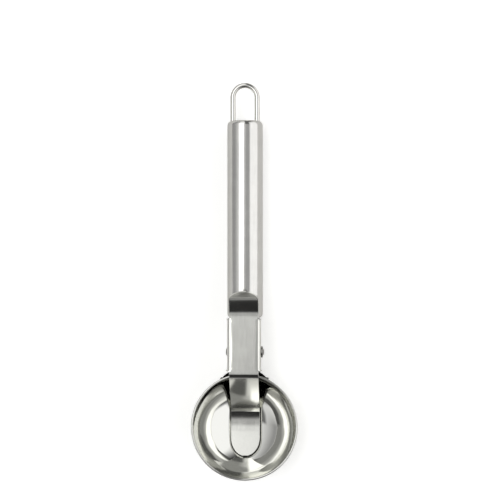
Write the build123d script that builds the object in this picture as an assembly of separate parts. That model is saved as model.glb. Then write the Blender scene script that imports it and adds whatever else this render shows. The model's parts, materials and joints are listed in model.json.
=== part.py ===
from build123d import *

import os
from math import acos, asin, atan2, ceil, cos, degrees, pi, radians, sin, sqrt, tan

# Ice cream scoop with a thumb lever, in millimetres.
# It lies on its back as on a table: bowl mouth up, handle along +Y, underside of bowl and handle at z = 0.
# The origin is under the middle of the overall length.

# Bowl: drawn cap of a ball with a rounded bead round its mouth
bowl_diameter = 56.6
bowl_depth = 19.2
bowl_wall = 0.9
bead_width = 1.2

# Handle: tube with a pressed-in cap at each end
tube_diameter = 19.0
tube_wall = 0.8
tube_length = 100.0
cap_shoulder = 2.4
cap_edge = 0.3
cap_wall = 0.9
spigot_wall = 0.6
spigot_length = 5.0

# Hanging loop: bent wire whose legs stand inside the rear cap
loop_wire = 2.8
loop_reach = 20.5
loop_inset = 0.2
loop_leg_inside = 4.0

# Neck bracket: folded channel from the handle to the bowl
neck_length = 28.9
bracket_sheet = 1.0
bracket_fold = 1.6
tail_height = 4.0
tail_length = 25.0
floor_front_height = 9.0
ear_height = 5.0
ear_flare = 5.0

# Lever: one pressing with thumb tab, channel and scraper tongue
lever_sheet = 0.8
lever_width = 17.7
lever_fold = 2.0
strip_width = 15.8
tongue_bend = 3.7
tongue_slope = 45.0
heel_bend = 4.0
heel_sweep = 11.0
tongue_sweep = 37.5
tongue_tip_sweep = 20.0
bend_setback = 0.7
flange_ahead = 9.0
flange_behind = 18.2
flange_depth = 5.0
flange_corner = 1.2
flange_lobe = 4.4
tab_setback = 0.8
tab_curl = 14.0
tab_angle = 48.0
tab_end = 4.0
tab_tip_rise = 5.6

# Pivot: rivet through lever and bracket, with a washer under its peened end
pivot_setback = 11.45
pivot_drop = 5.8
pin_diameter = 3.2
rivet_head_diameter = 5.0
rivet_head_height = 0.85
peened_head_diameter = 4.6
washer_diameter = 6.0
washer_thickness = 0.8

# Return spring: torsion coil round the rivet
spring_wire = 1.0
spring_turns = 5
spring_turn_gap = 0.45
upper_leg_reach = 11.0
lower_leg_reach = 12.0

# Clearances
press_gap = 0.02
running_gap = 0.06
side_gap = 0.3
head_gap = 0.1
slot_gap = 0.05
weld_gap = 0.05
lip_gap = 0.4
tongue_gap = 0.5
coil_gap = 0.4
seat_gap = 0.15

# Bowl: a ball's inside that goes through the bottom and the bead's inner edge
lip_radius = bowl_diameter / 2
bead_radius = bead_width / 2
rim_bore = lip_radius - bead_width
rim_depth = bowl_depth - bead_radius
ball_bore = (rim_bore**2 + rim_depth**2) / (2 * rim_depth)
ball_radius = ball_bore + bowl_wall
ball_z = ball_radius
lip_top = bowl_wall + bowl_depth
bead_z = lip_top - bead_radius
below_bead = bead_z - bead_radius - lip_gap

# Tongue: its strip's edges stay clear of the bowl's round inside, and its slope reaches up over the rim
tongue_back = sqrt((ball_bore - tongue_gap) ** 2 - (strip_width / 2) ** 2)
tongue_front = tongue_back - lever_sheet
slope = radians(tongue_slope)
heel = radians(heel_sweep)
heel_centre = tongue_front - heel_bend
slope_start = heel_centre * sin(heel) + heel_bend * sin(slope)
slope_start_z = ball_z - heel_centre * cos(heel) - heel_bend * cos(slope)
slope_end = lip_radius + bend_setback - tongue_bend * sin(slope)
plate_top = slope_start_z + (slope_end - slope_start) * tan(slope) + tongue_bend * (1 - cos(slope))

# Other radii and heights that follow
tube_radius = tube_diameter / 2
tube_bore = tube_radius - tube_wall
spigot_radius = tube_bore - press_gap
spigot_bore = spigot_radius - spigot_wall
tube_z = tube_radius
cap_height = cap_shoulder + cap_edge
pin_radius = pin_diameter / 2
pivot_z = plate_top - pivot_drop
cheek_lobe = pivot_drop - lever_fold

# Stations along the handle
overall_length = bowl_diameter + neck_length + tube_length + 2 * cap_height + loop_reach
bowl_y = lip_radius - overall_length / 2
rim_y = bowl_y + lip_radius
neck_end_y = rim_y + neck_length
tube_start_y = neck_end_y + cap_height
tube_end_y = tube_start_y + tube_length
handle_end_y = tube_end_y + cap_height
pivot_y = rim_y + pivot_setback

# Widths of the nested channels
neck_width = lever_width - 2 * lever_sheet - 2 * side_gap
tail_fit = 2 * sqrt(spigot_bore**2 - (tail_height / 2) ** 2) - 2 * slot_gap
tail_width = min(neck_width, tail_fit)

# Side view: sketch x is the part's Y, sketch y is its Z
side_plane = Plane(origin=(0, 0, 0), x_dir=(0, 1, 0), z_dir=(1, 0, 0))
facing_back = Plane(origin=(0, 0, 0), x_dir=(1, 0, 0), z_dir=(0, 1, 0)).location
facing_front = Plane(origin=(0, 0, 0), x_dir=(1, 0, 0), z_dir=(0, -1, 0)).location
facing_right = Plane(origin=(0, 0, 0), x_dir=(0, 0, -1), z_dir=(1, 0, 0)).location
facing_left = Plane(origin=(0, 0, 0), x_dir=(0, 0, 1), z_dir=(-1, 0, 0)).location


def side_plate(sketch, width):
    """Extrude a side-view sketch to a plate of this width, centred on the middle plane."""
    return extrude(side_plane * sketch, width / 2, both=True)


def fold(channel, runs, radius):
    """Round both long edges of each run, given as its width and a point that they pass in the side view."""
    edges = []
    for width, point in runs:
        for side in (-1, 1):
            edges += channel.edges().sort_by_distance((side * width / 2, *point))[:1]
    return fillet(edges, radius)


def cross_rod(radius, length):
    """Rod along X on the pivot axis."""
    return Pos(0, pivot_y, pivot_z) * facing_right * Cylinder(radius, length)


def bowl_ball(radius):
    """Ball about the bowl's centre, for cutting what sits against the bowl."""
    return Pos(0, bowl_y, ball_z) * Sphere(radius)


def wall_radius(z):
    """Radius of the bowl's outside at this height."""
    return sqrt(ball_radius**2 - (ball_z - z) ** 2)


def make_bowl():
    inner = CenterArc((0, ball_z), ball_bore, -90, degrees(asin(rim_bore / ball_bore)))
    outer = CenterArc((0, ball_z), ball_radius, -90, degrees(asin(wall_radius(bead_z) / ball_radius)))
    wall = make_face([outer, Line(outer @ 1, inner @ 1), inner, Line(inner @ 0, outer @ 0)])
    bead = Pos(lip_radius - bead_radius, bead_z) * Circle(bead_radius)
    return Pos(0, bowl_y, 0) * revolve(Plane.XZ * (wall + bead), Axis.Z)


def make_handle_tube():
    ring = Circle(tube_radius) - Circle(tube_bore)
    return Pos(0, tube_start_y, tube_z) * facing_back * extrude(ring, tube_length)


def end_cap():
    """Cap with its flange seated on the tube's end at z = 0 and its spigot below."""
    shoulder_centre = (tube_radius - cap_shoulder, cap_edge)
    shoulder = CenterArc(shoulder_centre, cap_shoulder, 0, 90)
    inside = cap_height - cap_wall
    below = Polyline(
        shoulder @ 1,
        (0, cap_height),
        (0, inside),
        (spigot_bore, inside),
        (spigot_bore, -spigot_length),
        (spigot_radius, -spigot_length),
        (spigot_radius, 0),
        (tube_radius, 0),
        shoulder @ 0,
    )
    return revolve(Plane.XZ * make_face([shoulder, below]), Axis.Z)


loop_leg_x = spigot_bore - loop_inset - loop_wire / 2


def make_rear_cap():
    cap = end_cap()
    for side in (-1, 1):
        cap -= Pos(side * loop_leg_x, 0, 0) * Cylinder(loop_wire / 2 + press_gap, 2 * tube_length)
    return Pos(0, tube_end_y, tube_z) * facing_back * cap


def make_front_cap():
    slot = Box(tail_width + 2 * slot_gap, tail_height + 2 * slot_gap, 4 * cap_height)
    return Pos(0, tube_start_y, tube_z) * facing_front * (end_cap() - Pos(0, 0, cap_height) * slot)


def make_hanging_loop():
    leg_foot_y = handle_end_y - cap_wall - loop_leg_inside
    arch_y = handle_end_y + loop_reach - loop_leg_x - loop_wire / 2
    left_leg = Line((-loop_leg_x, leg_foot_y), (-loop_leg_x, arch_y))
    arch = CenterArc((0, arch_y), loop_leg_x, 180, -180)
    right_leg = Line((loop_leg_x, arch_y), (loop_leg_x, leg_foot_y))
    path = Wire([left_leg, arch, right_leg])
    section = Plane(origin=path @ 0, z_dir=path % 0) * Circle(loop_wire / 2)
    return Pos(0, 0, tube_z) * sweep(section, path=path)


# Channel floor in the side view, rising from the handle to the bowl
tail_bottom = tube_z - tail_height / 2
floor_front_y = bowl_y + wall_radius(floor_front_height) - bowl_wall
floor_slope = (floor_front_height - tail_bottom) / (neck_end_y - floor_front_y)
floor_rise = bracket_sheet * sqrt(1 + floor_slope**2)


def floor_top(y):
    """Height of the channel floor's upper face at a station between handle and bowl."""
    return tail_bottom + (neck_end_y - y) * floor_slope + floor_rise


def make_weld_ear():
    """Flared front corner of the right-hand cheek, still to be cut to the bowl."""
    cheek = neck_width / 2
    tip_x = cheek + ear_flare
    tip_radius = wall_radius(below_bead) + weld_gap + bracket_sheet
    tip_y = bowl_y + sqrt(tip_radius**2 - tip_x**2)
    flare = CenterArc((tip_x, tip_y + ear_flare), ear_flare, 180, 90)
    rest = Polyline(
        flare @ 1,
        (tip_x, bowl_y),
        (cheek - bracket_sheet, bowl_y),
        (cheek - bracket_sheet, tip_y + ear_flare),
        flare @ 0,
    )
    return Pos(0, 0, below_bead - ear_height) * extrude(make_face([flare, rest]), ear_height)


def make_bracket():
    front_corners = [(floor_front_y, floor_front_height), (floor_front_y, below_bead)]
    back_corners = [(neck_end_y, tail_bottom + tail_height), (neck_end_y, tail_bottom)]
    outline = Polygon(*front_corners, *back_corners, align=None)
    lobe = Pos(pivot_y, pivot_z) * Circle(cheek_lobe)
    neck = side_plate(make_hull(outline.edges() + lobe.edges()), neck_width)
    tail_middle_y = neck_end_y + tail_length / 2
    tail_profile = Pos(tail_middle_y, tube_z) * Rectangle(tail_length, tail_height)
    tail = side_plate(tail_profile, tail_width)
    floor_middle_y = (floor_front_y + neck_end_y) / 2
    neck_fold = (floor_middle_y, floor_top(floor_middle_y) - floor_rise)
    tail_fold = (tail_middle_y, tail_bottom)
    outside = fold(neck + tail, [(neck_width, neck_fold), (tail_width, tail_fold)], bracket_fold)

    above = 2 * lip_top
    neck_opening = Polygon(
        (floor_front_y, floor_top(floor_front_y)),
        (floor_front_y, above),
        (neck_end_y, above),
        (neck_end_y, floor_top(neck_end_y)),
        align=None,
    )
    neck_room = neck_width - 2 * bracket_sheet
    tail_room = tail_width - 2 * bracket_sheet
    inside = side_plate(neck_opening, neck_room)
    inside += side_plate(Pos(0, floor_rise) * tail_profile, tail_room)
    neck_fold = (floor_middle_y, floor_top(floor_middle_y))
    tail_fold = (tail_middle_y, tail_bottom + floor_rise)
    inside = fold(inside, [(neck_room, neck_fold), (tail_room, tail_fold)], bracket_fold - bracket_sheet)
    body = outside - inside

    ear = make_weld_ear()
    body = body + ear + mirror(ear, Plane.YZ)
    body -= bowl_ball(ball_radius + weld_gap)
    lip_room = Cylinder(lip_radius + lip_gap, above, align=(Align.CENTER, Align.CENTER, Align.MIN))
    body -= Pos(0, bowl_y, below_bead) * lip_room
    return body - cross_rod(pin_radius + press_gap, 2 * lever_width)


# Lever's stations
bend_y = rim_y + bend_setback
tab_y = pivot_y + flange_behind + tab_setback
flange_length = flange_ahead + flange_behind
flange_middle_y = pivot_y + (flange_behind - flange_ahead) / 2


def strip_face(depth):
    """Edges of the bent strip's upper face, or of one this far under it, from tongue tip to thumb tab."""
    tongue_arc = tongue_sweep + heel_sweep
    tongue = CenterArc((bowl_y, ball_z), tongue_front + depth, -90 - tongue_sweep, tongue_arc)
    heel_middle = (bowl_y + heel_centre * sin(heel), ball_z - heel_centre * cos(heel))
    heel_arc = CenterArc(heel_middle, heel_bend + depth, heel_sweep - 90, tongue_slope - heel_sweep)
    bend_middle = (bend_y, plate_top - tongue_bend)
    bend = CenterArc(bend_middle, tongue_bend - depth, 90 + tongue_slope, -tongue_slope)
    curl = CenterArc((tab_y, plate_top + tab_curl), tab_curl + depth, -90, tab_angle)
    tab_tip = curl @ 1 + (curl % 1) * tab_end
    ramp = Line(heel_arc @ 1, bend @ 0)
    plate = Line(bend @ 1, curl @ 0)
    return [tongue, heel_arc, ramp, bend, plate, curl, Line(curl @ 1, tab_tip)]


def end_waste(end_point, lean, reach, outline):
    """Waste beside a rounded strip end: what the outline leaves of the last stretch, cut square to it."""
    end_plane = Plane(origin=(0, *end_point), x_dir=(1, 0, 0), z_dir=(0, -sin(lean), cos(lean)))
    block = Rectangle(2 * strip_width, 2 * reach)
    return extrude(end_plane * (block - outline), reach, both=True)


def make_strip():
    """Flat strip bent into tongue, plate and thumb tab, with rounded ends."""
    upper = strip_face(0)
    lower = strip_face(lever_sheet)
    tongue_end = Line(upper[0] @ 0, lower[0] @ 0)
    tab_end_line = Line(upper[-1] @ 1, lower[-1] @ 1)
    strip = side_plate(make_face(upper + lower + [tongue_end, tab_end_line]), strip_width)

    tongue_reach = 2 * tongue_back * sin(radians(tongue_tip_sweep / 2))
    tongue_lean = radians(180 - tongue_sweep + tongue_tip_sweep / 2)
    tongue_point = tongue_end @ 0.5
    tongue_outline = Pos(0, -tongue_reach) * Ellipse(strip_width / 2, tongue_reach)
    strip -= end_waste((tongue_point.X, tongue_point.Y), tongue_lean, tongue_reach, tongue_outline)

    tab_radius = ((strip_width / 2) ** 2 + tab_tip_rise**2) / (2 * tab_tip_rise)
    tab_point = tab_end_line @ 0.5
    tab_outline = Pos(0, -tab_radius) * Circle(tab_radius)
    return strip - end_waste((tab_point.X, tab_point.Y), radians(tab_angle), tab_tip_rise, tab_outline)


def make_lever():
    channel_depth = 4 * (pivot_drop + flange_lobe)
    outer = RectangleRounded(lever_width, channel_depth, lever_fold)
    inner_width = lever_width - 2 * lever_sheet
    inner = RectangleRounded(inner_width, channel_depth - 2 * lever_sheet, lever_fold - lever_sheet)
    channel_start = (0, flange_middle_y - flange_length / 2, plate_top - channel_depth / 2)
    channel = Pos(*channel_start) * extrude(Plane.XZ * (outer - inner), -flange_length)

    flange = RectangleRounded(flange_length, 2 * flange_depth, flange_corner)
    flange = Pos(flange_middle_y, plate_top) * flange
    lobe = Pos(pivot_y, pivot_z) * Circle(flange_lobe)
    channel &= side_plate(make_hull(flange.edges() + lobe.edges()), 2 * lever_width)

    plate_room = Box(2 * strip_width, flange_length, 4 * lever_sheet)
    strip = make_strip() - Pos(0, flange_middle_y, plate_top) * plate_room
    return strip + channel - cross_rod(pin_radius + running_gap, 2 * lever_width)


head_seat = lever_width / 2 + head_gap


def rivet_head(diameter, height):
    """Low dome on z = 0."""
    radius = diameter / 2
    ball = (radius**2 + height**2) / (2 * height)
    rim_angle = degrees(atan2(ball - height, radius))
    dome = CenterArc((0, height - ball), ball, rim_angle, 90 - rim_angle)
    base = Polyline(dome @ 1, (0, 0), dome @ 0)
    return revolve(Plane.XZ * make_face([dome, base]), Axis.Z)


def make_pivot_pin():
    right_end = head_seat + washer_thickness
    shaft = facing_right * extrude(Circle(pin_radius), head_seat + right_end)
    left_head = facing_left * rivet_head(rivet_head_diameter, rivet_head_height)
    right_head = facing_right * rivet_head(peened_head_diameter, rivet_head_height)
    rivet = Pos(-head_seat, 0, 0) * (shaft + left_head) + Pos(right_end, 0, 0) * right_head
    return Pos(0, pivot_y, pivot_z) * rivet


def make_pin_washer():
    ring = Circle(washer_diameter / 2) - Circle(pin_radius + press_gap)
    return Pos(head_seat, pivot_y, pivot_z) * facing_right * extrude(ring, washer_thickness)


def biarc(start, start_way, end, end_way):
    """Two tangent arcs from one point and direction to another."""
    chord = end - start
    ways = start_way + end_way
    spread = 2 * (1 - start_way.dot(end_way))
    along = chord.dot(ways)
    reach = (sqrt(along**2 + spread * chord.dot(chord)) - along) / spread
    joint = (start + end + (start_way - end_way) * reach) / 2
    first = TangentArc(start, joint, tangent=start_way)
    return [first, TangentArc(joint, end, tangent=first % 1)]


def spring_path():
    """Wire line of the spring about the origin: floor leg, coil winding along X, lever leg."""
    coil_radius = pin_radius + coil_gap + spring_wire / 2
    lead = (spring_wire + spring_turn_gap) / (2 * pi)
    clear = spring_wire / 2 + seat_gap
    floor_end = (lower_leg_reach, floor_top(pivot_y + lower_leg_reach) + clear - pivot_z)
    plate_end = (upper_leg_reach, pivot_drop - lever_sheet - clear)

    def tangent_from(point, side):
        """Angle on the coil where a straight leg from the point runs into it, and the leg's length."""
        distance = sqrt(point[0] ** 2 + point[1] ** 2)
        angle = atan2(point[1], point[0]) + side * acos(coil_radius / distance)
        return angle, sqrt(distance**2 - coil_radius**2)

    start_angle, floor_leg = tangent_from(floor_end, -1)
    end_angle, plate_leg = tangent_from(plate_end, 1)
    sweep_angle = start_angle - end_angle + 2 * pi * spring_turns

    def station(turned):
        """Point and direction on the coil after turning by this angle."""
        angle = start_angle - turned
        point = Vector(lead * (turned - sweep_angle / 2), coil_radius * cos(angle), coil_radius * sin(angle))
        way = Vector(lead, coil_radius * sin(angle), -coil_radius * cos(angle)).normalized()
        return point, way

    quarters = ceil(sweep_angle / (pi / 2))
    stations = [station(sweep_angle * step / quarters) for step in range(quarters + 1)]
    slant = sqrt(1 + (lead / coil_radius) ** 2)
    first_point, first_way = stations[0]
    last_point, last_way = stations[-1]
    edges = [Line(first_point - first_way * (floor_leg * slant), first_point)]
    for (start, start_way), (end, end_way) in zip(stations, stations[1:]):
        edges += biarc(start, start_way, end, end_way)
    edges.append(Line(last_point, last_point + last_way * (plate_leg * slant)))
    return Wire(edges)


def make_return_spring():
    path = spring_path()
    section = Plane(origin=path @ 0, z_dir=path % 0) * Circle(spring_wire / 2)
    report_spring_gap(path)
    return Pos(0, pivot_y, pivot_z) * sweep(section, path=path)


def report_spring_gap(path):
    """Print the least gap between the wire and itself, measured on points along it."""
    samples = 600
    step = path.length / samples
    points = [path @ (index / samples) for index in range(samples + 1)]
    apart = ceil(2 * pi * spring_wire / step)
    least = min(
        (near - far).length for index, near in enumerate(points) for far in points[index + apart:]
    )
    print(f"return spring: least gap to itself {least - spring_wire:.2f} mm")


pieces = {
    "bowl": make_bowl,
    "bracket": make_bracket,
    "handle_tube": make_handle_tube,
    "front_cap": make_front_cap,
    "rear_cap": make_rear_cap,
    "hanging_loop": make_hanging_loop,
    "lever": make_lever,
    "pivot_pin": make_pivot_pin,
    "pin_washer": make_pin_washer,
    "return_spring": make_return_spring,
}

os.makedirs("parts", exist_ok=True)
for name, make_piece in pieces.items():
    export_step(make_piece(), f"parts/{name}.step")
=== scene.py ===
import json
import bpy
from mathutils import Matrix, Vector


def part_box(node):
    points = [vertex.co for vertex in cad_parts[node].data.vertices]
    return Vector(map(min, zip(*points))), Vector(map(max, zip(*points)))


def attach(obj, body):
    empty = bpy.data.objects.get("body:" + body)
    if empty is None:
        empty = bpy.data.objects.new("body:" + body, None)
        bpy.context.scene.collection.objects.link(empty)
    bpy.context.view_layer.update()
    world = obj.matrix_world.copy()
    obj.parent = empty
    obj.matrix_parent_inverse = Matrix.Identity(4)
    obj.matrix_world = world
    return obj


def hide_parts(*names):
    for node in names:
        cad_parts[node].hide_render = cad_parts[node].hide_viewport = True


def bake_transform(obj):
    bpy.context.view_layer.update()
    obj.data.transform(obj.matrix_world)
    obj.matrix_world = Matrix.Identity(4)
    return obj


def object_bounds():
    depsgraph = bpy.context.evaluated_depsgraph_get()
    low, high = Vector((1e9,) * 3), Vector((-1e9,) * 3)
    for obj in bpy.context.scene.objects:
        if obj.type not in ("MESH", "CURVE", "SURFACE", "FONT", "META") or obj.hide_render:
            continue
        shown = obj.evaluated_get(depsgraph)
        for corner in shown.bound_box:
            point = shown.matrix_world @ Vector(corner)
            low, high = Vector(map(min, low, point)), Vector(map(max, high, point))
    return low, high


bl_info = {
    "name": "Ice Cream Scoop",
    "version": (1, 0, 0),
    "blender": (4, 5, 0),
    "location": "3D View > Sidebar > Scoop",
    "description": "Finishes the steel pieces of a thumb-lever ice cream scoop and sets them in a studio",
    "category": "Object",
}

from math import acos, atan2, cos, pi, radians, sin, sqrt

import bmesh
import bpy
from bpy.props import FloatProperty, FloatVectorProperty, IntProperty, PointerProperty
from mathutils import Matrix, Vector

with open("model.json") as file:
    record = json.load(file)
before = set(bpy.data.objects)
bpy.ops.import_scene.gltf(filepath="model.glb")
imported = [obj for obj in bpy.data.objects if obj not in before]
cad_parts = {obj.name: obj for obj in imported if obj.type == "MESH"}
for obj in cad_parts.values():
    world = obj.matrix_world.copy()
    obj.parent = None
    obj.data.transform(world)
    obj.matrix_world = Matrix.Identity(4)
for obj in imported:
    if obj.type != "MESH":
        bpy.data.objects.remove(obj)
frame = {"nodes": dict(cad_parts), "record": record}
cad_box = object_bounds()

MM = 0.001
PIVOT = Vector(frame["record"]["behaviour"]["joints"][0]["pos_m"])

# Places of a mix node's sockets, whose names repeat for each type of value
MIX_SHARE = 0
MIX_FLOAT_A = 2
MIX_FLOAT_B = 3
MIX_COLOUR_A = 6
MIX_COLOUR_B = 7
MIX_COLOUR_OUT = 2

# Spacing of a steel's fine marks along X, Y and Z, in millimetres. Real marks are finer. These are drawn
# coarser, so that they show.
BRUSHED_MARKS = (0.3, 16, 0.3)
ROLLED_MARKS = (0.4, 12, 0.4)
DRAWN_MARKS = (0.4, 8, 0.4)
HAMMER_MARKS = (0.5, 0.5, 0.5)
GRAIN_MARKS = (0.4, 0.4, 0.4)


def linear(code):
    """Linear colour of an sRGB hex code."""
    channels = [int(code[i:i + 2], 16) / 255 for i in (0, 2, 4)]
    return [c / 12.92 if c <= 0.04045 else ((c + 0.055) / 1.055) ** 2.4 for c in channels]


def size(name, millimetres, description):
    """Length property with its default in millimetres."""
    return FloatProperty(
        name=name, description=description, unit="LENGTH", default=millimetres * MM, precision=5)


def turn(name, degrees, description):
    """Angle property with its default in degrees."""
    return FloatProperty(name=name, description=description, subtype="ANGLE", default=radians(degrees))


def colour(name, code, description):
    """Colour property with its default as an sRGB hex code."""
    return FloatVectorProperty(
        name=name, description=description, subtype="COLOR", min=0, max=1, default=linear(code))


def radiance(name, strength, description):
    """Radiance property, where 1 is the picture's white."""
    return FloatProperty(name=name, description=description, min=0, default=strength)


class ScoopFinish(bpy.types.PropertyGroup):
    """Colours of the steel pieces."""

    bowl: colour("Bowl", "D2D2CE", "Reflected colour of the buffed bowl")
    lip: colour("Bowl's lip", "C6C6C2", "Reflected colour of the bowl's ground lip")
    handle: colour("Handle", "CFCECB", "Reflected colour of the satin tube and its caps")
    sheet: colour("Pressed sheet", "DADAD5", "Reflected colour of the lever and the neck bracket")
    # Painted shade: the underside gets a darker grey than the upper face, besides its rougher finish
    shaded_underside: colour("Raw sheet", "8C8B87", "Reflected colour of the lever's unpolished underside")
    # Near-black, dull colour laid on the bracket close to the bowl and on the weld beads
    weld: colour("Weld oxide", "0E0E0D", "Reflected colour of the oxide beside the welds")
    blued: colour("Blued band", "5B6068", "Reflected colour of the blued band round the welds")
    straw: colour("Straw band", "A8977C", "Reflected colour of the straw band round the welds")
    wire: colour("Wire", "D2D1CD", "Reflected colour of the hanging loop")
    rivet: colour("Rivet", "9A9996", "Reflected colour of the rivet and its washer")
    spring: colour("Spring", "8F9296", "Reflected colour of the tempered spring wire")


class ScoopLever(bpy.types.PropertyGroup):
    """Sizes of the pressed lever."""

    sheet: size("Sheet", 0.8, "Thickness of the sheet")
    edge_round: size("Edge round", 0.15, "Radius on the sheet's tumbled edges")
    strip_width: size("Strip width", 15.8, "Width of the tongue and the thumb tab")
    channel_width: size("Channel width", 17.7, "Width over the two flanges")
    fold: size("Fold", 2.0, "Outer radius of the flanges' folds")
    fold_fade: size("Fold fade", 1.2, "Length over which a fold runs out past its flange")
    flange_depth: size("Flange depth", 5.0, "Depth of the flanges at their ends")
    flange_corner: size("Flange corner", 1.2, "Radius on the flanges' lower corners")
    flange_ahead: size("Flange ahead", 9.0, "Reach of the flanges from the pivot towards the bowl")
    flange_behind: size("Flange behind", 17.0, "Reach of the flanges from the pivot towards the handle")
    flange_lobe: size("Flange lobe", 4.4, "Radius of the flanges round the rivet")
    pivot_drop: size("Pivot drop", 5.8, "Height of the plate's upper face above the rivet's axis")
    pin_hole: size("Pin hole", 3.32, "Diameter of the rivet's holes")
    tongue_radius: size("Tongue radius", 26.1, "Radius of the tongue's upper face in the bowl")
    tongue_height: size("Tongue centre", 29.942, "Height of the middle of the tongue's arc")
    tongue_sweep: turn("Tongue sweep", 37.5, "Sweep of the tongue from the bowl's middle to its tip")
    tongue_tip: size("Tongue tip", 10.0, "Length of the tongue's rounded end")
    tongue_flat: size("Tongue flat", 9.0, "Length of the straight run at the tongue's tip")
    heel_sweep: turn("Heel sweep", 12.2, "Sweep of the tongue from the bowl's middle to its heel")
    heel_bend: size("Heel bend", 4.0, "Upper radius of the bend at the tongue's heel")
    slope: turn("Slope", 45, "Slope of the tongue from its heel to the rim")
    rim_bend: size("Rim bend", 3.7, "Upper radius of the bend over the rim")
    tab_setback: size("Tab setback", 2.0, "Distance from the flanges to the thumb tab's curl")
    tab_curl: size("Tab curl", 14.0, "Upper radius of the thumb tab's curl")
    tab_angle: turn("Tab angle", 48, "Final slope of the thumb tab")
    tab_end: size("Tab end", 4.0, "Length of the straight end of the thumb tab")
    tab_tip: size("Tab tip", 5.6, "Length of the thumb tab's rounded end")


class ScoopWeld(bpy.types.PropertyGroup):
    """Sizes of the weld beads beside the neck, measured from the bowl's middle."""

    radius: size("Bead radius", 1.0, "Radius of a weld bead at its middle")
    near_x: size("Near side", 7.0, "Distance to the side of the bead's end at the neck")
    near_y: size("Near reach", 28.8, "Distance towards the handle of the bead's end at the neck")
    far_x: size("Far side", 11.2, "Distance to the side of the bead's end at the rim")
    far_y: size("Far reach", 25.6, "Distance towards the handle of the bead's end at the rim")
    drop: size("Drop", 1.9, "Depth of the bead's middle under the bowl's lip")
    ripples: IntProperty(name="Ripples", description="Ripples along a weld bead", min=1, default=6)


class ScoopSpring(bpy.types.PropertyGroup):
    """Sizes of the return spring, its legs measured from the rivet's axis."""

    wire: size("Wire", 1.0, "Diameter of the wire")
    coil: size("Coil", 5.0, "Diameter of the coil at the wire's middle")
    turn_gap: size("Turn gap", 0.45, "Gap between two turns")
    turns: IntProperty(name="Turns", description="Full turns before the legs' own angle", min=1, default=5)
    lower_reach: size("Lower reach", 12.0, "Reach of the leg on the bracket's floor")
    lower_drop: size("Lower drop", 10.05, "Depth of that leg's end")
    upper_reach: size("Upper reach", 11.0, "Reach of the leg under the lever")
    upper_rise: size("Upper rise", 4.35, "Height of that leg's end")


class ScoopStage(bpy.types.PropertyGroup):
    """Camera, floor and lights."""

    camera_height: size("Camera height", 771, "Height of the camera above the floor")
    camera_lean: turn("Camera lean", 2.3, "Turn of the camera about the handle's axis")
    aim: FloatVectorProperty(
        name="Aim", description="Point that the camera looks at",
        subtype="TRANSLATION", default=(0.00265, 0.0162, 0.0095))
    lens: FloatProperty(
        name="Lens", description="Focal length in millimetres", unit="CAMERA", min=10, default=102.5)
    floor: colour("Floor", "F6F6F4", "Colour of the floor")
    floor_mirrored: colour("Floor, mirrored", "F8F7F4", "Colour of the floor as the steel shows it")
    # Painted shade in reflections: a grey that only the steel shows, on the floor ahead of the bowl
    painted_shade_ahead: colour("Floor ahead", "B6B5B2", "Colour of the floor ahead as the steel shows it")
    floor_lift: radiance("Floor lift", 0.4, "Light added to the floor in the picture")
    right_box: radiance("Right softbox", 1.42, "Radiance of the right softbox")
    left_strip: radiance("Left strip", 2.6, "Radiance of the left strip light")
    tent_bright: radiance("Tent, bright", 1.3, "Radiance of the tent's bright side, overhead and behind")
    tent_dim: radiance("Tent, dim", 0.5, "Radiance of the tent's dim side, overhead")
    tent_back: radiance("Tent, back", 0.19, "Radiance of the tent's dim side, behind")
    tent_left: radiance("Tent, left", 1.0, "Radiance of the tent's left wall")
    tent_side: radiance("Tent, side", 0.42, "Radiance of the left wall's back")
    tent_front: radiance("Tent, front", 0.22, "Radiance of the tent's front")
    tent_low: radiance("Tent, low", 0.3, "Radiance of the tent low in front")
    tent_dark: radiance("Tent, dark", 0.03, "Radiance of the tent's openings")


def box_middle(node):
    """Middle of a CAD node's box at rest."""
    low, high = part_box(node)
    return (low + high) / 2


def add_node(tree, kind, inputs=None, **settings):
    """Add a node, set its options, and set its inputs or link them to other nodes' outputs."""
    node = tree.nodes.new(kind)
    for option, value in settings.items():
        setattr(node, option, value)
    for socket, value in (inputs or {}).items():
        if isinstance(value, bpy.types.NodeSocket):
            tree.links.new(value, node.inputs[socket])
        else:
            node.inputs[socket].default_value = value
    return node


def new_material(name):
    """Empty node material with its output."""
    material = bpy.data.materials.get(name) or bpy.data.materials.new(name)
    material.use_nodes = True
    tree = material.node_tree
    tree.nodes.clear()
    return material, tree, add_node(tree, "ShaderNodeOutputMaterial")


def assign(node, material):
    """Give a CAD node one material."""
    mesh = frame["nodes"][node].data
    mesh.materials.clear()
    mesh.materials.append(material)


def new_object(name, data):
    """Object in the scene for a mesh or the camera."""
    piece = bpy.data.objects.new(name, data)
    bpy.context.scene.collection.objects.link(piece)
    return piece


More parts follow.
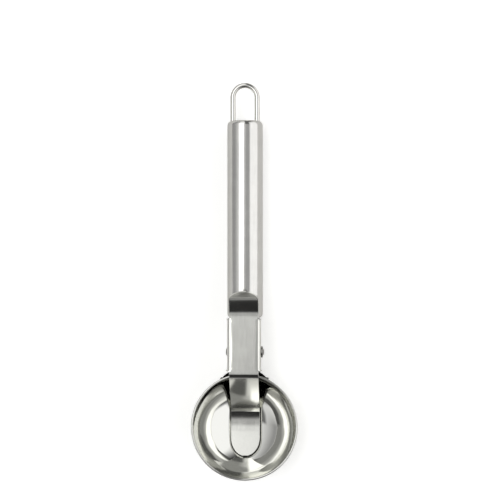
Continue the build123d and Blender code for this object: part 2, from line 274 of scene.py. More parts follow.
def polished_bowl(finish):
    """Steel of the bowl, with its ground lip."""
    # Stainless steel, deep drawn and mirror buffed: sharp reflections that wave a little where the sheet
    # was drawn, with faint rings from the buffing wheel and a duller lip. Real rings are finer. These are
    # drawn coarser, so that they show.
    ring_spacing = 0.5 * MM
    ring_depth = 0.002 * MM
    wave_length = 9 * MM
    wave_depth = 0.1 * MM
    haze_size = 14 * MM
    clear_roughness = 0.015
    hazy_roughness = 0.05
    lip_roughness = 0.08
    low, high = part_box("bowl")
    lip_top = (high.z - low.z) / 2
    lip_start = lip_top - 1.5 * MM
    lip_full = lip_top - 0.9 * MM

    material, tree, output = new_material("stainless_steel_drawn_buffed")
    place = add_node(tree, "ShaderNodeTexCoord").outputs["Object"]
    centred = add_node(tree, "ShaderNodeVectorMath", {
        0: place, 1: box_middle("bowl")}, operation="SUBTRACT").outputs[0]
    flat = add_node(tree, "ShaderNodeVectorMath", {0: centred, 1: (1, 1, 0)}, operation="MULTIPLY")
    across = add_node(tree, "ShaderNodeVectorMath", {0: flat.outputs[0]}, operation="LENGTH")
    height = add_node(tree, "ShaderNodeSeparateXYZ", {0: centred}).outputs["Z"]
    meridian = add_node(tree, "ShaderNodeCombineXYZ", {0: across.outputs["Value"], 1: height})
    rings = add_node(tree, "ShaderNodeTexNoise", {
        "Vector": meridian.outputs[0], "Scale": 1 / ring_spacing, "Detail": 3, "Roughness": 0.6})
    waves = add_node(tree, "ShaderNodeTexNoise", {"Vector": place, "Scale": 1 / wave_length, "Detail": 1})
    haze = add_node(tree, "ShaderNodeTexNoise", {
        "Vector": place, "Scale": 1 / haze_size, "Detail": 5, "Roughness": 0.6})
    buffed = add_node(tree, "ShaderNodeMapRange", {
        "Value": haze.outputs["Fac"], "From Min": 0.3, "From Max": 0.7,
        "To Min": clear_roughness, "To Max": hazy_roughness})
    lip = add_node(tree, "ShaderNodeMapRange", {
        "Value": height, "From Min": lip_start, "From Max": lip_full}).outputs["Result"]
    rough = add_node(tree, "ShaderNodeMix", {
        MIX_SHARE: lip, MIX_FLOAT_A: buffed.outputs["Result"], MIX_FLOAT_B: lip_roughness},
        data_type="FLOAT")
    tint = add_node(tree, "ShaderNodeMix", {
        MIX_SHARE: lip, MIX_COLOUR_A: (*finish.bowl, 1), MIX_COLOUR_B: (*finish.lip, 1)},
        data_type="RGBA")
    wave_bump = add_node(tree, "ShaderNodeBump", {
        "Height": waves.outputs["Fac"], "Strength": 1, "Distance": wave_depth})
    ring_bump = add_node(tree, "ShaderNodeBump", {
        "Height": rings.outputs["Fac"], "Strength": 1, "Distance": ring_depth,
        "Normal": wave_bump.outputs[0]})
    shader = add_node(tree, "ShaderNodeBsdfPrincipled", {
        "Base Color": tint.outputs[MIX_COLOUR_OUT], "Metallic": 1, "Roughness": rough.outputs[0],
        "Normal": ring_bump.outputs[0]})
    tree.links.new(shader.outputs[0], output.inputs["Surface"])
    return material


def lined_steel(name, tint, roughness, spacing, depth):
    """Steel with fine marks, their spacing along each axis and their depth in millimetres."""
    # The marks and a wider haze, which add up to about 1, vary the steel's roughness and its tone.
    haze_size = 11 * MM
    rough_spread = 0.25
    tone_spread = 0.06

    material, tree, output = new_material(name)
    place = add_node(tree, "ShaderNodeTexCoord").outputs["Object"]
    scaled = add_node(tree, "ShaderNodeVectorMath", {
        0: place, 1: [1 / (step * MM) for step in spacing]}, operation="MULTIPLY")
    marks = add_node(tree, "ShaderNodeTexNoise", {
        "Vector": scaled.outputs[0], "Scale": 1, "Detail": 3, "Roughness": 0.65})
    haze = add_node(tree, "ShaderNodeTexNoise", {
        "Vector": place, "Scale": 1 / haze_size, "Detail": 5, "Roughness": 0.6})
    mixed = add_node(tree, "ShaderNodeMath", {
        0: marks.outputs["Fac"], 1: haze.outputs["Fac"]}, operation="ADD")
    rough = add_node(tree, "ShaderNodeMapRange", {
        "Value": mixed.outputs[0], "From Min": 0.7, "From Max": 1.3,
        "To Min": (1 - rough_spread) * roughness, "To Max": (1 + rough_spread) * roughness})
    worn = add_node(tree, "ShaderNodeMapRange", {
        "Value": mixed.outputs[0], "From Min": 0.75, "From Max": 1.25})
    darker = [(1 - tone_spread) * channel for channel in tint]
    lighter = [min((1 + tone_spread) * channel, 1) for channel in tint]
    tone = add_node(tree, "ShaderNodeMix", {
        MIX_SHARE: worn.outputs["Result"], MIX_COLOUR_A: (*darker, 1), MIX_COLOUR_B: (*lighter, 1)},
        data_type="RGBA")
    bump = add_node(tree, "ShaderNodeBump", {
        "Height": marks.outputs["Fac"], "Strength": 1, "Distance": depth * MM})
    shader = add_node(tree, "ShaderNodeBsdfPrincipled", {
        "Base Color": tone.outputs[MIX_COLOUR_OUT], "Metallic": 1, "Roughness": rough.outputs["Result"],
        "Normal": bump.outputs[0]})
    tree.links.new(shader.outputs[0], output.inputs["Surface"])
    return material


class SCOOP_OT_bowl(bpy.types.Operator):
    """Finish the drawn bowl"""

    bl_idname = "scoop.bowl"
    bl_label = "Bowl"

    def execute(self, context):
        assign("bowl", polished_bowl(context.scene.scoop_finish))
        return {"FINISHED"}


class SCOOP_OT_handle(bpy.types.Operator):
    """Finish the handle tube and its two caps"""

    bl_idname = "scoop.handle"
    bl_label = "Handle"

    def execute(self, context):
        finish = context.scene.scoop_finish
        # Satin tube, polished along its length: soft bands of light with fine lines along them.
        satin = lined_steel(
            "stainless_tube_satin_polished", finish.handle,
            roughness=0.14, spacing=BRUSHED_MARKS, depth=0.0008)
        for node in ("handle_tube", "front_cap", "rear_cap"):
            assign(node, satin)
        return {"FINISHED"}


class SideLine:
    """Line of arcs and straight runs in the side view, followed from its start by distance."""

    def __init__(self, start, heading):
        self.runs = []
        self.length = 0
        self.end = (*start, heading)

    def add(self, length, bend=0.0):
        """Add a run that turns by this angle over its length."""
        self.runs.append((self.length, *self.end, bend / length))
        self.length += length
        self.end = self.at(self.length)

    def at(self, distance):
        """Y, Z and heading at a distance along the line."""
        past = [run for run in self.runs if run[0] <= distance] or self.runs[:1]
        begin, y, z, heading, curve = past[-1]
        along = distance - begin
        if curve == 0:
            return y + along * cos(heading), z + along * sin(heading), heading
        last = heading + curve * along
        return y + (sin(last) - sin(heading)) / curve, z + (cos(heading) - cos(last)) / curve, last


def smooth(share):
    """Ease from 0 to 1."""
    share = min(max(share, 0), 1)
    return share * share * (3 - 2 * share)


class LeverSheet:
    """The lever's sheet: its side line, and how far it spreads and folds at each distance along it."""

    def __init__(self, lever):
        self.lever = lever
        bowl = box_middle("bowl")
        plate_top = PIVOT.z + lever.pivot_drop
        tip = lever.tongue_sweep - atan2(lever.tongue_flat, lever.tongue_radius)
        start_y = bowl.y - lever.tongue_radius * sin(tip) - lever.tongue_flat * cos(tip)
        start_z = lever.tongue_height - lever.tongue_radius * cos(tip) + lever.tongue_flat * sin(tip)
        line = SideLine((start_y, start_z), -tip)
        line.add(lever.tongue_flat)
        line.add(lever.tongue_radius * (tip + lever.heel_sweep), tip + lever.heel_sweep)
        line.add(lever.heel_bend * (lever.slope - lever.heel_sweep), lever.slope - lever.heel_sweep)
        bend_rise = lever.rim_bend * (1 - cos(lever.slope))
        line.add((plate_top - bend_rise - line.end[1]) / sin(lever.slope))
        line.add(lever.rim_bend * lever.slope, -lever.slope)
        plate_start = line.length
        plate_start_y = line.end[0]
        tab_y = PIVOT.y + lever.flange_behind + lever.tab_setback
        line.add(tab_y - plate_start_y)
        line.add(lever.tab_curl * lever.tab_angle, lever.tab_angle)
        line.add(lever.tab_end)
        self.line = line
        self.flange_start = plate_start + PIVOT.y - lever.flange_ahead - plate_start_y
        self.flange_end = self.flange_start + lever.flange_ahead + lever.flange_behind
        self.flat = lever.channel_width / 2 - lever.fold
        self.fold_length = lever.fold * pi / 2
        self.flange_edge = self.lower_edge()

    def lower_edge(self):
        """Points of the flange's lower edge, from front to back: distance along the line and depth."""
        lever = self.lever
        arc_steps = 64
        corner = lever.flange_corner
        corner_depth = lever.flange_depth - corner
        circles = [
            (self.flange_start + corner, corner_depth, corner),
            (self.flange_start + lever.flange_ahead, lever.pivot_drop, lever.flange_lobe),
            (self.flange_end - corner, corner_depth, corner),
        ]
        points = []
        for middle, depth, radius in circles:
            for step in range(arc_steps + 1):
                angle = pi * step / arc_steps
                points.append((middle - radius * cos(angle), depth + radius * sin(angle)))
        hull = []
        for point in sorted(points):
            while len(hull) > 1 and self.turns_up(hull[-2], hull[-1], point):
                hull.pop()
            hull.append(point)
        return hull

    @staticmethod
    def turns_up(first, second, third):
        """Whether the second point lies above the line from the first to the third."""
        run = third[0] - first[0]
        rise = third[1] - first[1]
        return (second[0] - first[0]) * rise - (second[1] - first[1]) * run >= 0

    def flange_depth(self, distance):
        """Depth of the flange's lower edge under the plate's upper face."""
        for (near, near_depth), (far, far_depth) in zip(self.flange_edge, self.flange_edge[1:]):
            if near <= distance <= far and far > near:
                return near_depth + (far_depth - near_depth) * (distance - near) / (far - near)
        return self.flange_edge[0][1]

    def outside_flange(self, distance):
        """How far a place lies past the flanges' ends."""
        return max(self.flange_start - distance, distance - self.flange_end, 0)

    def half_width(self, distance):
        """Half of the sheet's width, measured over its folds."""
        lever = self.lever
        half = lever.strip_width / 2
        from_tab = self.line.length - distance
        if distance < lever.tongue_tip:
            return half * sqrt(1 - (1 - distance / lever.tongue_tip) ** 2)
        if from_tab < lever.tab_tip:
            radius = (half**2 + lever.tab_tip**2) / (2 * lever.tab_tip)
            return sqrt(radius**2 - (radius - from_tab) ** 2)
        inside = min(max(distance, self.flange_start), self.flange_end)
        flange = self.flat + self.fold_length + self.flange_depth(inside) - lever.fold
        return flange + (half - flange) * smooth(self.outside_flange(distance) / lever.flange_corner)

    def point(self, distance, across, depth):
        """Point of the sheet at a distance along it and across it, this deep under its outer face."""
        y, z, heading = self.line.at(distance)
        side = 1 if across >= 0 else -1
        over = max(abs(across) - self.flat, 0)
        bend = pi / 2 * (1 - smooth(self.outside_flange(distance) / self.lever.fold_fade))
        curve = bend / self.fold_length
        folded = min(over, self.fold_length)
        angle = curve * folded
        x = min(abs(across), self.flat)
        drop = 0
        if curve > 0:
            x += sin(angle) / curve
            drop += (1 - cos(angle)) / curve
        else:
            x += folded
        rest = over - folded
        x += rest * cos(angle) - depth * sin(angle)
        drop += rest * sin(angle) + depth * cos(angle)
        return Vector((side * x, y + drop * sin(heading), z - drop * cos(heading)))

    def stations(self):
        """Distances along the line for the mesh's rows, closer where the sheet or its outline turns."""
        lever = self.lever
        tip_rows = 14
        fine_step = 0.16 * MM
        wide_step = 1.6 * MM
        bend_step = radians(3)
        fade = lever.fold_fade
        short_run = 1.5 * fade
        first = lever.edge_round
        last = self.line.length - lever.edge_round
        tip_end = lever.tongue_tip
        tab_start = self.line.length - lever.tab_tip
        turns = [pi / 2 * row / tip_rows for row in range(tip_rows + 1)]
        rows = [first + (tip_end - first) * (1 - cos(angle)) for angle in turns[:-1]]
        stops = [tip_end, tab_start]
        stops += [run[0] for run in self.line.runs if tip_end < run[0] < tab_start]
        stops += [self.flange_start - fade, self.flange_start, self.flange_start + lever.flange_corner]
        stops += [self.flange_end - lever.flange_corner, self.flange_end, self.flange_end + fade]
        stops.sort()
        for near, far in zip(stops, stops[1:]):
            turned = abs(self.line.at(far)[2] - self.line.at(near)[2])
            fine = self.outside_flange((near + far) / 2) < fade and far - near < short_run
            step = fine_step if fine else wide_step
            count = max(1, round((far - near) / step), round(turned / bend_step))
            rows += [near + (far - near) * index / count for index in range(count)]
        rows += [last - (last - tab_start) * (1 - sin(angle)) for angle in turns]
        return rows


def lever_mesh(lever):
    """Mesh of the bent and folded sheet with rounded edges."""
    sheet = LeverSheet(lever)
    rows = sheet.stations()
    flat_columns = 6
    fold_columns = 14
    knee_share = 0.7
    edge_steps = 3
    grid = []
    for distance in rows:
        half = sheet.half_width(distance) - lever.edge_round
        knee = min(sheet.flat, knee_share * half)
        side = [knee * step / flat_columns for step in range(flat_columns + 1)]
        side += [knee + (half - knee) * step / fold_columns for step in range(1, fold_columns + 1)]
        places = [-across for across in reversed(side[1:])] + side
        grid.append([(distance, across) for across in places])
    columns = len(grid[0])

    made = bmesh.new()
    outer = [[made.verts.new(sheet.point(*place, 0)) for place in row] for row in grid]
    inner = [[made.verts.new(sheet.point(*place, lever.sheet)) for place in row] for row in grid]
    for row in range(len(rows) - 1):
        for column in range(columns - 1):
            for slot, (layer, order) in enumerate(((outer, 1), (inner, -1))):
                corners = [layer[row][column], layer[row][column + 1],
                           layer[row + 1][column + 1], layer[row + 1][column]]
                made.faces.new(corners[::order]).material_index = slot

    last = len(rows) - 1
    border = [(0, column) for column in range(columns - 1)]
    border += [(row, columns - 1) for row in range(last)]
    border += [(last, column) for column in range(columns - 1, 0, -1)]
    border += [(row, 0) for row in range(last, 0, -1)]
    rings = [[outer[row][column] for row, column in border]]
    angles = [pi / 2 * step / edge_steps for step in range(1, edge_steps + 1)]
    rounding = [(angle, False) for angle in angles] + [(angle, True) for angle in reversed(angles)]
    for angle, below in rounding:
        out = lever.edge_round * sin(angle)
        depth = lever.edge_round * (1 - cos(angle))
        if below:
            depth = lever.sheet - depth
        ring = []
        for index, (row, column) in enumerate(border):
            before_row, before_column = border[index - 1]
            after_row, after_column = border[(index + 1) % len(border)]
            along = Vector(grid[after_row][after_column]) - Vector(grid[before_row][before_column])
            away = Vector((-along.y, along.x)).normalized()
            place = Vector(grid[row][column]) - away * out
            ring.append(made.verts.new(sheet.point(place.x, place.y, depth)))
        rings.append(ring)
    rings.append([inner[row][column] for row, column in border])
    for near, far in zip(rings, rings[1:]):
        for index in range(len(border)):
            following = (index + 1) % len(border)
            made.faces.new([near[index], far[index], far[following], near[following]])
    bmesh.ops.recalc_face_normals(made, faces=made.faces)
    mesh = bpy.data.meshes.new("lever_sheet")
    made.to_mesh(mesh)
    made.free()
    return mesh


def cut_pin_holes(piece, lever):
    """Cut the rivet's holes through both flanges."""
    hole_sides = 48
    hole_radius = lever.pin_hole / 2
    drill = bpy.data.meshes.new("drill")
    made = bmesh.new()
    across = Matrix.Rotation(pi / 2, 4, "Y")
    bmesh.ops.create_cone(
        made, cap_ends=True, segments=hole_sides, radius1=hole_radius, radius2=hole_radius,
        depth=2 * lever.channel_width, matrix=Matrix.Translation(PIVOT) @ across)
    made.to_mesh(drill)
    made.free()
    cutter = new_object("drill", drill)
    cut = piece.modifiers.new("pin_holes", "BOOLEAN")
    cut.object = cutter
    cut.solver = "EXACT"
    bpy.context.view_layer.update()
    shaped = piece.evaluated_get(bpy.context.evaluated_depsgraph_get())
    mesh = bpy.data.meshes.new_from_object(shaped)
    # Faces of many corners beside the holes become triangles here, so that none of them is left empty.
    made = bmesh.new()
    made.from_mesh(mesh)
    bmesh.ops.triangulate(made, faces=[face for face in made.faces if len(face.verts) > 4])
    made.to_mesh(mesh)
    made.free()
    piece.modifiers.clear()
    piece.data = mesh
    bpy.data.objects.remove(cutter)
    bpy.data.meshes.remove(drill)


class SCOOP_OT_lever(bpy.types.Operator):
    """Build the pressed lever"""

    bl_idname = "scoop.lever"
    bl_label = "Lever"

    def execute(self, context):
        lever = context.scene.scoop_lever
        piece = new_object("pressed_lever", lever_mesh(lever))
        cut_pin_holes(piece, lever)
        for face in piece.data.polygons:
            face.use_smooth = True
        # The wide faces set the shading, so that they stay flat up to the rounded edges.
        weighted = piece.modifiers.new("weighted_normals", "WEIGHTED_NORMAL")
        weighted.weight = 100
        finish = context.scene.scoop_finish
        # Pressed sheet, tumbled: almost a mirror, with reflections a little soft and uneven in tone.
        sheet = lined_steel(
            "stainless_sheet_pressed_tumbled", finish.sheet,
            roughness=0.12, spacing=ROLLED_MARKS, depth=0.0008)
        # Pressed sheet's underside: rougher, so that it shows broad lights only, and painted a darker grey
        # as shade.
        shaded_underside = lined_steel(
            "stainless_sheet_underside_rough_painted_shade", finish.shaded_underside,
            roughness=0.38, spacing=ROLLED_MARKS, depth=0.002)
        piece.data.materials.clear()
        for material in (sheet, shaded_underside):
            piece.data.materials.append(material)
        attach(piece, "lever")
        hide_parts("lever")
        return {"FINISHED"}


def tint_weld(tree, finish, lever):
    """Colour a steel by its distance from the bowl: near-black close to it, then the weld's heat colours.
    """
    # Near-black and dull against the bowl, then blue and straw where the sheet got less hot.
    blotch_size = 3 * MM
    blotch_reach = 3 * MM
    hot = lever.tongue_height + 1.5 * MM
    cold = lever.tongue_height + 10 * MM
    black_end = 0.6
    blue_middle = 0.75
    straw_middle = 0.87
    black_roughness = 0.6

    shader = tree.nodes["Principled BSDF"]
    place = add_node(tree, "ShaderNodeTexCoord").outputs["Object"]
    middle = box_middle("bowl")
    middle.z = lever.tongue_height
    away = add_node(tree, "ShaderNodeVectorMath", {0: place, 1: middle}, operation="DISTANCE")
    blotch = add_node(tree, "ShaderNodeTexNoise", {
        "Vector": place, "Scale": 1 / blotch_size, "Detail": 4, "Roughness": 0.6})
    uneven = add_node(tree, "ShaderNodeMath", {
        0: blotch.outputs["Fac"], 1: blotch_reach, 2: away.outputs["Value"]}, operation="MULTIPLY_ADD")
    heat = add_node(tree, "ShaderNodeMapRange", {
        "Value": uneven.outputs[0], "From Min": hot, "From Max": cold}).outputs["Result"]
    ramp = add_node(tree, "ShaderNodeValToRGB", {0: heat})
    stops = (
        (0, finish.weld), (black_end, finish.weld), (blue_middle, finish.blued),
        (straw_middle, finish.straw), (1, finish.sheet))
    while len(ramp.color_ramp.elements) < len(stops):
        ramp.color_ramp.elements.new(1)
    for element, (position, tint) in zip(ramp.color_ramp.elements, stops):
        element.position = position
        element.color = (*tint, 1)
    tree.links.new(ramp.outputs["Color"], shader.inputs["Base Color"])
    bare = add_node(tree, "ShaderNodeMapRange", {
        "Value": heat, "From Min": black_end, "From Max": blue_middle})
    smooth_steel = shader.inputs["Roughness"].links[0].from_socket
    rough = add_node(tree, "ShaderNodeMix", {
        MIX_SHARE: bare.outputs["Result"], MIX_FLOAT_A: black_roughness, MIX_FLOAT_B: smooth_steel},
        data_type="FLOAT")
    tree.links.new(rough.outputs[0], shader.inputs["Roughness"])


class SCOOP_OT_bracket(bpy.types.Operator):
    """Finish the welded neck bracket"""

    bl_idname = "scoop.bracket"
    bl_label = "Neck bracket"

    def execute(self, context):
        finish = context.scene.scoop_finish
        # Welded sheet: the lever's steel, a little duller, near-black against the bowl, with the weld's
        # heat colours further out.
        sheet = lined_steel(
            "stainless_sheet_welded", finish.sheet,
            roughness=0.16, spacing=ROLLED_MARKS, depth=0.0008)
        tint_weld(sheet.node_tree, finish, context.scene.scoop_lever)
        assign("bracket", sheet)
        return {"FINISHED"}


def round_mesh(name, lines, guide):
    """Mesh of round pieces, each a line of points with their radii, which are nothing at its two ends."""
    sides = 16
    same_place = 0.0002 * MM
    angles = [2 * pi * corner / sides for corner in range(sides)]
    made = bmesh.new()
    for line in lines:
        loops = []
        for index, (point, radius) in enumerate(line):
            before = line[max(index - 1, 0)][0]
            after = line[min(index + 1, len(line) - 1)][0]
            level = (after - before).cross(guide).normalized()
            up = level.cross(after - before).normalized()
            spokes = [level * cos(angle) + up * sin(angle) for angle in angles]
            loops.append([made.verts.new(point + spoke * radius) for spoke in spokes])
        for first, second in zip(loops, loops[1:]):
            for corner in range(sides):
                following = (corner + 1) % sides
                made.faces.new([first[corner], first[following], second[following], second[corner]])
    bmesh.ops.remove_doubles(made, verts=made.verts, dist=same_place)
    bmesh.ops.recalc_face_normals(made, faces=made.faces)
    for face in made.faces:
        face.smooth = True
    mesh = bpy.data.meshes.new(name)
    made.to_mesh(mesh)
    made.free()
    return mesh


def weld_lines(weld):
    """Lines of the two rippled weld beads, one on each side of the neck."""
    rings = 36
    ripple_height = 0.08
    bowl = box_middle("bowl")
    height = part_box("bowl")[1].z - weld.drop
    lines = []
    for side in (-1, 1):
        near = Vector((side * weld.near_x, bowl.y + weld.near_y, height))
        far = Vector((side * weld.far_x, bowl.y + weld.far_y, height))
        line = []
        for ring in range(rings + 1):
            share = ring / rings
            ripple = 1 + ripple_height * cos(2 * pi * weld.ripples * share)
            swell = sqrt(1 - (2 * share - 1) ** 4) * ripple
            line.append((near.lerp(far, share), weld.radius * swell))
        lines.append(line)
    return lines


class SCOOP_OT_welds(bpy.types.Operator):
    """Build the two weld beads beside the neck"""

    bl_idname = "scoop.welds"
    bl_label = "Weld beads"

    def execute(self, context):
        lines = weld_lines(context.scene.scoop_weld)
        beads = new_object("weld_beads", round_mesh("weld_beads", lines, Vector((0, 0, 1))))
        finish = context.scene.scoop_finish
        # Weld metal: rippled where it froze, near-black and dull.
        scaled = lined_steel(
            "weld_metal_near_black", finish.weld,
            roughness=0.5, spacing=GRAIN_MARKS, depth=0.004)
        beads.data.materials.append(scaled)
        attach(beads, "scoop")
        return {"FINISHED"}


class SCOOP_OT_loop(bpy.types.Operator):
    """Finish the hanging loop"""

    bl_idname = "scoop.loop"
    bl_label = "Hanging loop"

    def execute(self, context):
        finish = context.scene.scoop_finish
        # Bright drawn wire: clear, narrow reflections with faint lines along the wire.
        bright = lined_steel(
            "stainless_wire_bright_drawn", finish.wire,
            roughness=0.12, spacing=DRAWN_MARKS, depth=0.0006)
        assign("hanging_loop", bright)
        return {"FINISHED"}


class SCOOP_OT_rivet(bpy.types.Operator):
    """Finish the rivet and its washer"""

    bl_idname = "scoop.rivet"
    bl_label = "Rivet and washer"

    def execute(self, context):
        finish = context.scene.scoop_finish
        # Cold peened rivet: grey, with broad highlights that the hammer's marks break up.
        peened = lined_steel(
            "stainless_rivet_cold_peened", finish.rivet,
            roughness=0.26, spacing=HAMMER_MARKS, depth=0.0015)
        for node in ("pivot_pin", "pin_washer"):
            assign(node, peened)
        return {"FINISHED"}


def leg_tangent(reach, rise, radius, side):
    """Angle on the coil where a straight leg from a point beside it runs in, and the leg's length."""
    distance = sqrt(reach**2 + rise**2)
    return atan2(rise, reach) + side * acos(radius / distance), sqrt(distance**2 - radius**2)


def spring_line(spring):
    """Line of the spring's wire: leg on the bracket's floor, coil along the rivet, leg under the lever."""
    coil_step = radians(9)
    full = spring.wire / 2
    radius = spring.coil / 2
    lead = (spring.wire + spring.turn_gap) / (2 * pi)
    first, lower_leg = leg_tangent(spring.lower_reach, -spring.lower_drop, radius, -1)
    last, upper_leg = leg_tangent(spring.upper_reach, spring.upper_rise, radius, 1)
    sweep = first - last + 2 * pi * spring.turns

    def on_coil(turned):
        angle = first - turned
        return PIVOT + Vector((lead * (turned - sweep / 2), radius * cos(angle), radius * sin(angle)))

    def way(turned):
        angle = first - turned
        return Vector((lead / radius, sin(angle), -cos(angle)))

    # A leg from its rounded tip to the coil: share of its length, and the wire's radius there
    leg = ((1, 0), (0.9999, 0.8 * full), (0.992, full), (0.7, full), (0.4, full), (0.1, full))
    steps = round(sweep / coil_step)
    line = [(on_coil(0) - way(0) * lower_leg * share, thick) for share, thick in leg]
    line += [(on_coil(sweep * step / steps), full) for step in range(steps + 1)]
    line += [(on_coil(sweep) + way(sweep) * upper_leg * share, thick) for share, thick in reversed(leg)]
    return line


class SCOOP_OT_spring(bpy.types.Operator):
    """Build the return spring, which bends between the bracket and the lever"""

    bl_idname = "scoop.spring"
    bl_label = "Return spring"

    def execute(self, context):
        spring = context.scene.scoop_spring
        finish = context.scene.scoop_finish
        # Oil tempered spring steel: blue-grey, with broad, dim highlights.
        tempered = lined_steel(
            "spring_steel_oil_tempered", finish.spring,
            roughness=0.3, spacing=GRAIN_MARKS, depth=0.001)
        across = Vector((1, 0, 0))
        wire = new_object("spring_wire", round_mesh("spring_wire", [spring_line(spring)], across))
        wire.data.materials.append(tempered)
        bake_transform(wire)
        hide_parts("return_spring")
        return {"FINISHED"}


def hang_panel(tree, tent, edges, strength):
    """Hang a panel in the tent. Each edge has an angle and the degrees between which it fades in."""
    share = 1.0
    for angle, clear, full in edges:
        edge = add_node(tree, "ShaderNodeMapRange", {
            "Value": angle, "From Min": radians(clear), "From Max": radians(full)}).outputs[0]
        share = add_node(tree, "ShaderNodeMath", {0: share, 1: edge}, operation="MULTIPLY").outputs[0]
    return add_node(tree, "ShaderNodeMix", {
        MIX_SHARE: share, MIX_FLOAT_A: tent, MIX_FLOAT_B: strength}, data_type="FLOAT").outputs[0]


class SCOOP_OT_stage(bpy.types.Operator):
    """Build the floor, lights and camera"""

    bl_idname = "scoop.stage"
    bl_label = "Stage"

    def execute(self, context):
        stage = context.scene.scoop_stage
        self.build_floor(stage)
        self.build_lights(context, stage)
        self.build_camera(context, stage)
        context.scene.view_settings.view_transform = "Standard"
        return {"FINISHED"}

    def build_floor(self, stage):
        """Lay the floor that the scoop lies on."""
        half = 4000 * MM
        grey_start = -110 * MM
        grey_full = -150 * MM
        mesh = bpy.data.meshes.new("floor")
        corners = [(-half, -half, 0), (half, -half, 0), (half, half, 0), (-half, half, 0)]
        mesh.from_pydata(corners, [], [(0, 1, 2, 3)])
        floor = new_object("floor", mesh)
        floor.location.z = cad_box[0].z
        # White paper, matt: soft shadows under the scoop and no shine. The steel shows it in other tones,
        # with painted shade that makes it greyer ahead of the bowl in reflections only, and some light is
        # added where the camera sees it.
        material, tree, output = new_material("white_paper_matt")
        path = add_node(tree, "ShaderNodeLightPath")
        place = add_node(tree, "ShaderNodeTexCoord").outputs["Object"]
        along = add_node(tree, "ShaderNodeSeparateXYZ", {0: place}).outputs["Y"]
        # Mask of that painted shade, fading in ahead of the bowl
        ahead = add_node(tree, "ShaderNodeMapRange", {
            "Value": along, "From Min": grey_start, "From Max": grey_full}).outputs[0]
        painted_reflection_tone = add_node(tree, "ShaderNodeMix", {
            MIX_SHARE: ahead, MIX_COLOUR_A: (*stage.floor_mirrored, 1),
            MIX_COLOUR_B: (*stage.painted_shade_ahead, 1)}, data_type="RGBA").outputs[MIX_COLOUR_OUT]
        tone = add_node(tree, "ShaderNodeMix", {
            MIX_SHARE: path.outputs["Is Glossy Ray"], MIX_COLOUR_A: (*stage.floor, 1),
            MIX_COLOUR_B: painted_reflection_tone}, data_type="RGBA").outputs[MIX_COLOUR_OUT]
        lift = add_node(tree, "ShaderNodeMath", {
            0: path.outputs["Is Camera Ray"], 1: stage.floor_lift}, operation="MULTIPLY")
        shader = add_node(tree, "ShaderNodeBsdfPrincipled", {
            "Base Color": tone, "Roughness": 0.9, "Specular IOR Level": 0.2,
            "Emission Color": (1, 1, 1, 1), "Emission Strength": lift.outputs[0]})
        tree.links.new(shader.outputs[0], output.inputs["Surface"])
        mesh.materials.append(material)

    def build_lights(self, context, stage):
        """Hang the tent and its lights as panels of the world."""
        world = bpy.data.worlds.new("studio_tent")
        context.scene.world = world
        world.use_nodes = True
        tree = world.node_tree
        tree.nodes.clear()

        # Lean from overhead to the right and the back, and turn round from the right and from the front
        way = add_node(tree, "ShaderNodeTexCoord").outputs["Generated"]
        x, y, z = add_node(tree, "ShaderNodeSeparateXYZ", {0: way}).outputs
        lean_x = add_node(tree, "ShaderNodeMath", {0: x, 1: z}, operation="ARCTAN2").outputs[0]
        lean_y = add_node(tree, "ShaderNodeMath", {0: y, 1: z}, operation="ARCTAN2").outputs[0]
        from_right = add_node(tree, "ShaderNodeMath", {0: y, 1: x}, operation="ARCTAN2").outputs[0]
        aside = add_node(tree, "ShaderNodeMath", {0: x}, operation="ABSOLUTE").outputs[0]
        ahead = add_node(tree, "ShaderNodeMath", {0: y, 1: -1}, operation="MULTIPLY").outputs[0]
        from_front = add_node(tree, "ShaderNodeMath", {0: aside, 1: ahead}, operation="ARCTAN2").outputs[0]

        # Overhead, bright on the left and dim on the right, with an edge that slants towards the front
        slant_end = radians(0.5)
        overhead_slant = -1.5
        near = add_node(tree, "ShaderNodeMath", {0: lean_y, 1: slant_end}, operation="MINIMUM")
        slanted = add_node(tree, "ShaderNodeMath", {
            0: near.outputs[0], 1: overhead_slant, 2: lean_x}, operation="MULTIPLY_ADD")
        tent = add_node(tree, "ShaderNodeMapRange", {
            "Value": slanted.outputs[0], "From Min": radians(-12), "From Max": radians(8),
            "To Min": stage.tent_bright, "To Max": stage.tent_dim}).outputs[0]
        # Behind, bright on the left and dim on the right
        behind = add_node(tree, "ShaderNodeMapRange", {
            "Value": lean_x, "From Min": radians(-3.5), "From Max": radians(3),
            "To Min": stage.tent_bright, "To Max": stage.tent_back}).outputs[0]
        tent = hang_panel(tree, tent, [(lean_y, 9.5, 11.5)], behind)
        # Left wall, dimmer low down at the back
        tent = hang_panel(tree, tent, [(lean_x, -35, -37)], stage.tent_left)
        tent = hang_panel(tree, tent, [(lean_x, -37, -66), (lean_y, -60, -10)], stage.tent_side)
        # Strip light on the left
        left_edges = [(lean_x, -37, -35), (lean_x, -6, -10), (lean_y, 40, 12)]
        tent = hang_panel(tree, tent, left_edges, stage.left_strip)
        # Front, with a slanted upper edge
        front_slant = 0.3
        upper_edge = add_node(tree, "ShaderNodeMath", {
            0: lean_x, 1: front_slant, 2: lean_y}, operation="MULTIPLY_ADD").outputs[0]
        front_edges = [(upper_edge, -17.5, -25.5), (lean_y, -83, -79)]
        tent = hang_panel(tree, tent, front_edges + [(lean_x, -50, -44)], stage.tent_front)
        # Softbox on the right
        right_ends = [(from_right, -62, -50), (from_right, 75, 52)]
        right_edges = [(lean_x, 31, 35.5), (lean_y, -66, -56)]
        tent = hang_panel(tree, tent, right_edges + right_ends, stage.right_box)
        # Opening low at the back
        back_edges = [(lean_y, 55, 75), (lean_x, -30, 0), (from_right, 48, 68)]
        tent = hang_panel(tree, tent, back_edges, stage.tent_dark)
        # Low front, in front of the softbox's end
        low_edges = [(lean_y, -58, -68), (lean_y, -83, -79), (from_front, 62, 40)]
        tent = hang_panel(tree, tent, low_edges, stage.tent_front)
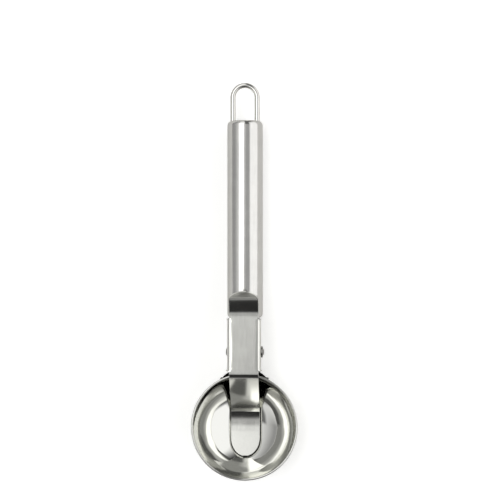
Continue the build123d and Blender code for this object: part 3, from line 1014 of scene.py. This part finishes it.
        # Narrow gap in the front, and the tent's foot under it
        tent = hang_panel(tree, tent, front_edges + [(lean_x, -18, -9), (lean_x, 18, 9)], stage.tent_dark)
        tent = hang_panel(tree, tent, [(lean_y, -78, -82), (from_front, 22, 12)], stage.tent_low)

        # The camera itself sees plain white past the floor.
        seen = add_node(tree, "ShaderNodeLightPath").outputs["Is Camera Ray"]
        shown = add_node(tree, "ShaderNodeMix", {
            MIX_SHARE: seen, MIX_FLOAT_A: tent, MIX_FLOAT_B: 1.0}, data_type="FLOAT").outputs[0]
        background = add_node(tree, "ShaderNodeBackground", {"Color": (1, 1, 1, 1), "Strength": shown})
        add_node(tree, "ShaderNodeOutputWorld", {"Surface": background.outputs[0]})

    def build_camera(self, context, stage):
        """Place the camera above the scoop, looking down at the aim."""
        data = bpy.data.cameras.new("camera")
        data.lens = stage.lens
        camera = new_object("camera", data)
        context.scene.camera = camera
        away = (stage.camera_height - stage.aim[2]) / cos(stage.camera_lean)
        lean = Vector((sin(stage.camera_lean), 0, cos(stage.camera_lean)))
        camera.location = Vector(stage.aim) + lean * away
        camera.rotation_euler = (0, stage.camera_lean, 0)


class SCOOP_PT_sidebar(bpy.types.Panel):
    """Steps that finish the scoop"""

    bl_label = "Ice cream scoop"
    bl_space_type = "VIEW_3D"
    bl_region_type = "UI"
    bl_category = "Scoop"

    def draw(self, context):
        for operator in operators:
            self.layout.operator(operator.bl_idname)


groups = {
    "scoop_finish": ScoopFinish,
    "scoop_lever": ScoopLever,
    "scoop_weld": ScoopWeld,
    "scoop_spring": ScoopSpring,
    "scoop_stage": ScoopStage,
}
operators = (
    SCOOP_OT_bowl,
    SCOOP_OT_handle,
    SCOOP_OT_lever,
    SCOOP_OT_bracket,
    SCOOP_OT_welds,
    SCOOP_OT_loop,
    SCOOP_OT_rivet,
    SCOOP_OT_spring,
    SCOOP_OT_stage,
)
classes = (*groups.values(), *operators, SCOOP_PT_sidebar)


def register():
    for each in classes:
        bpy.utils.register_class(each)
    for name, group in groups.items():
        setattr(bpy.types.Scene, name, PointerProperty(type=group))


def unregister():
    for name in groups:
        delattr(bpy.types.Scene, name)
    for each in reversed(classes):
        bpy.utils.unregister_class(each)


def main():
    register()
    bpy.ops.scoop.bowl()
    bpy.ops.scoop.handle()
    bpy.ops.scoop.lever()
    bpy.ops.scoop.bracket()
    bpy.ops.scoop.welds()
    bpy.ops.scoop.loop()
    bpy.ops.scoop.rivet()
    bpy.ops.scoop.spring()
    bpy.ops.scoop.stage()


if __name__ == "__main__":
    main()
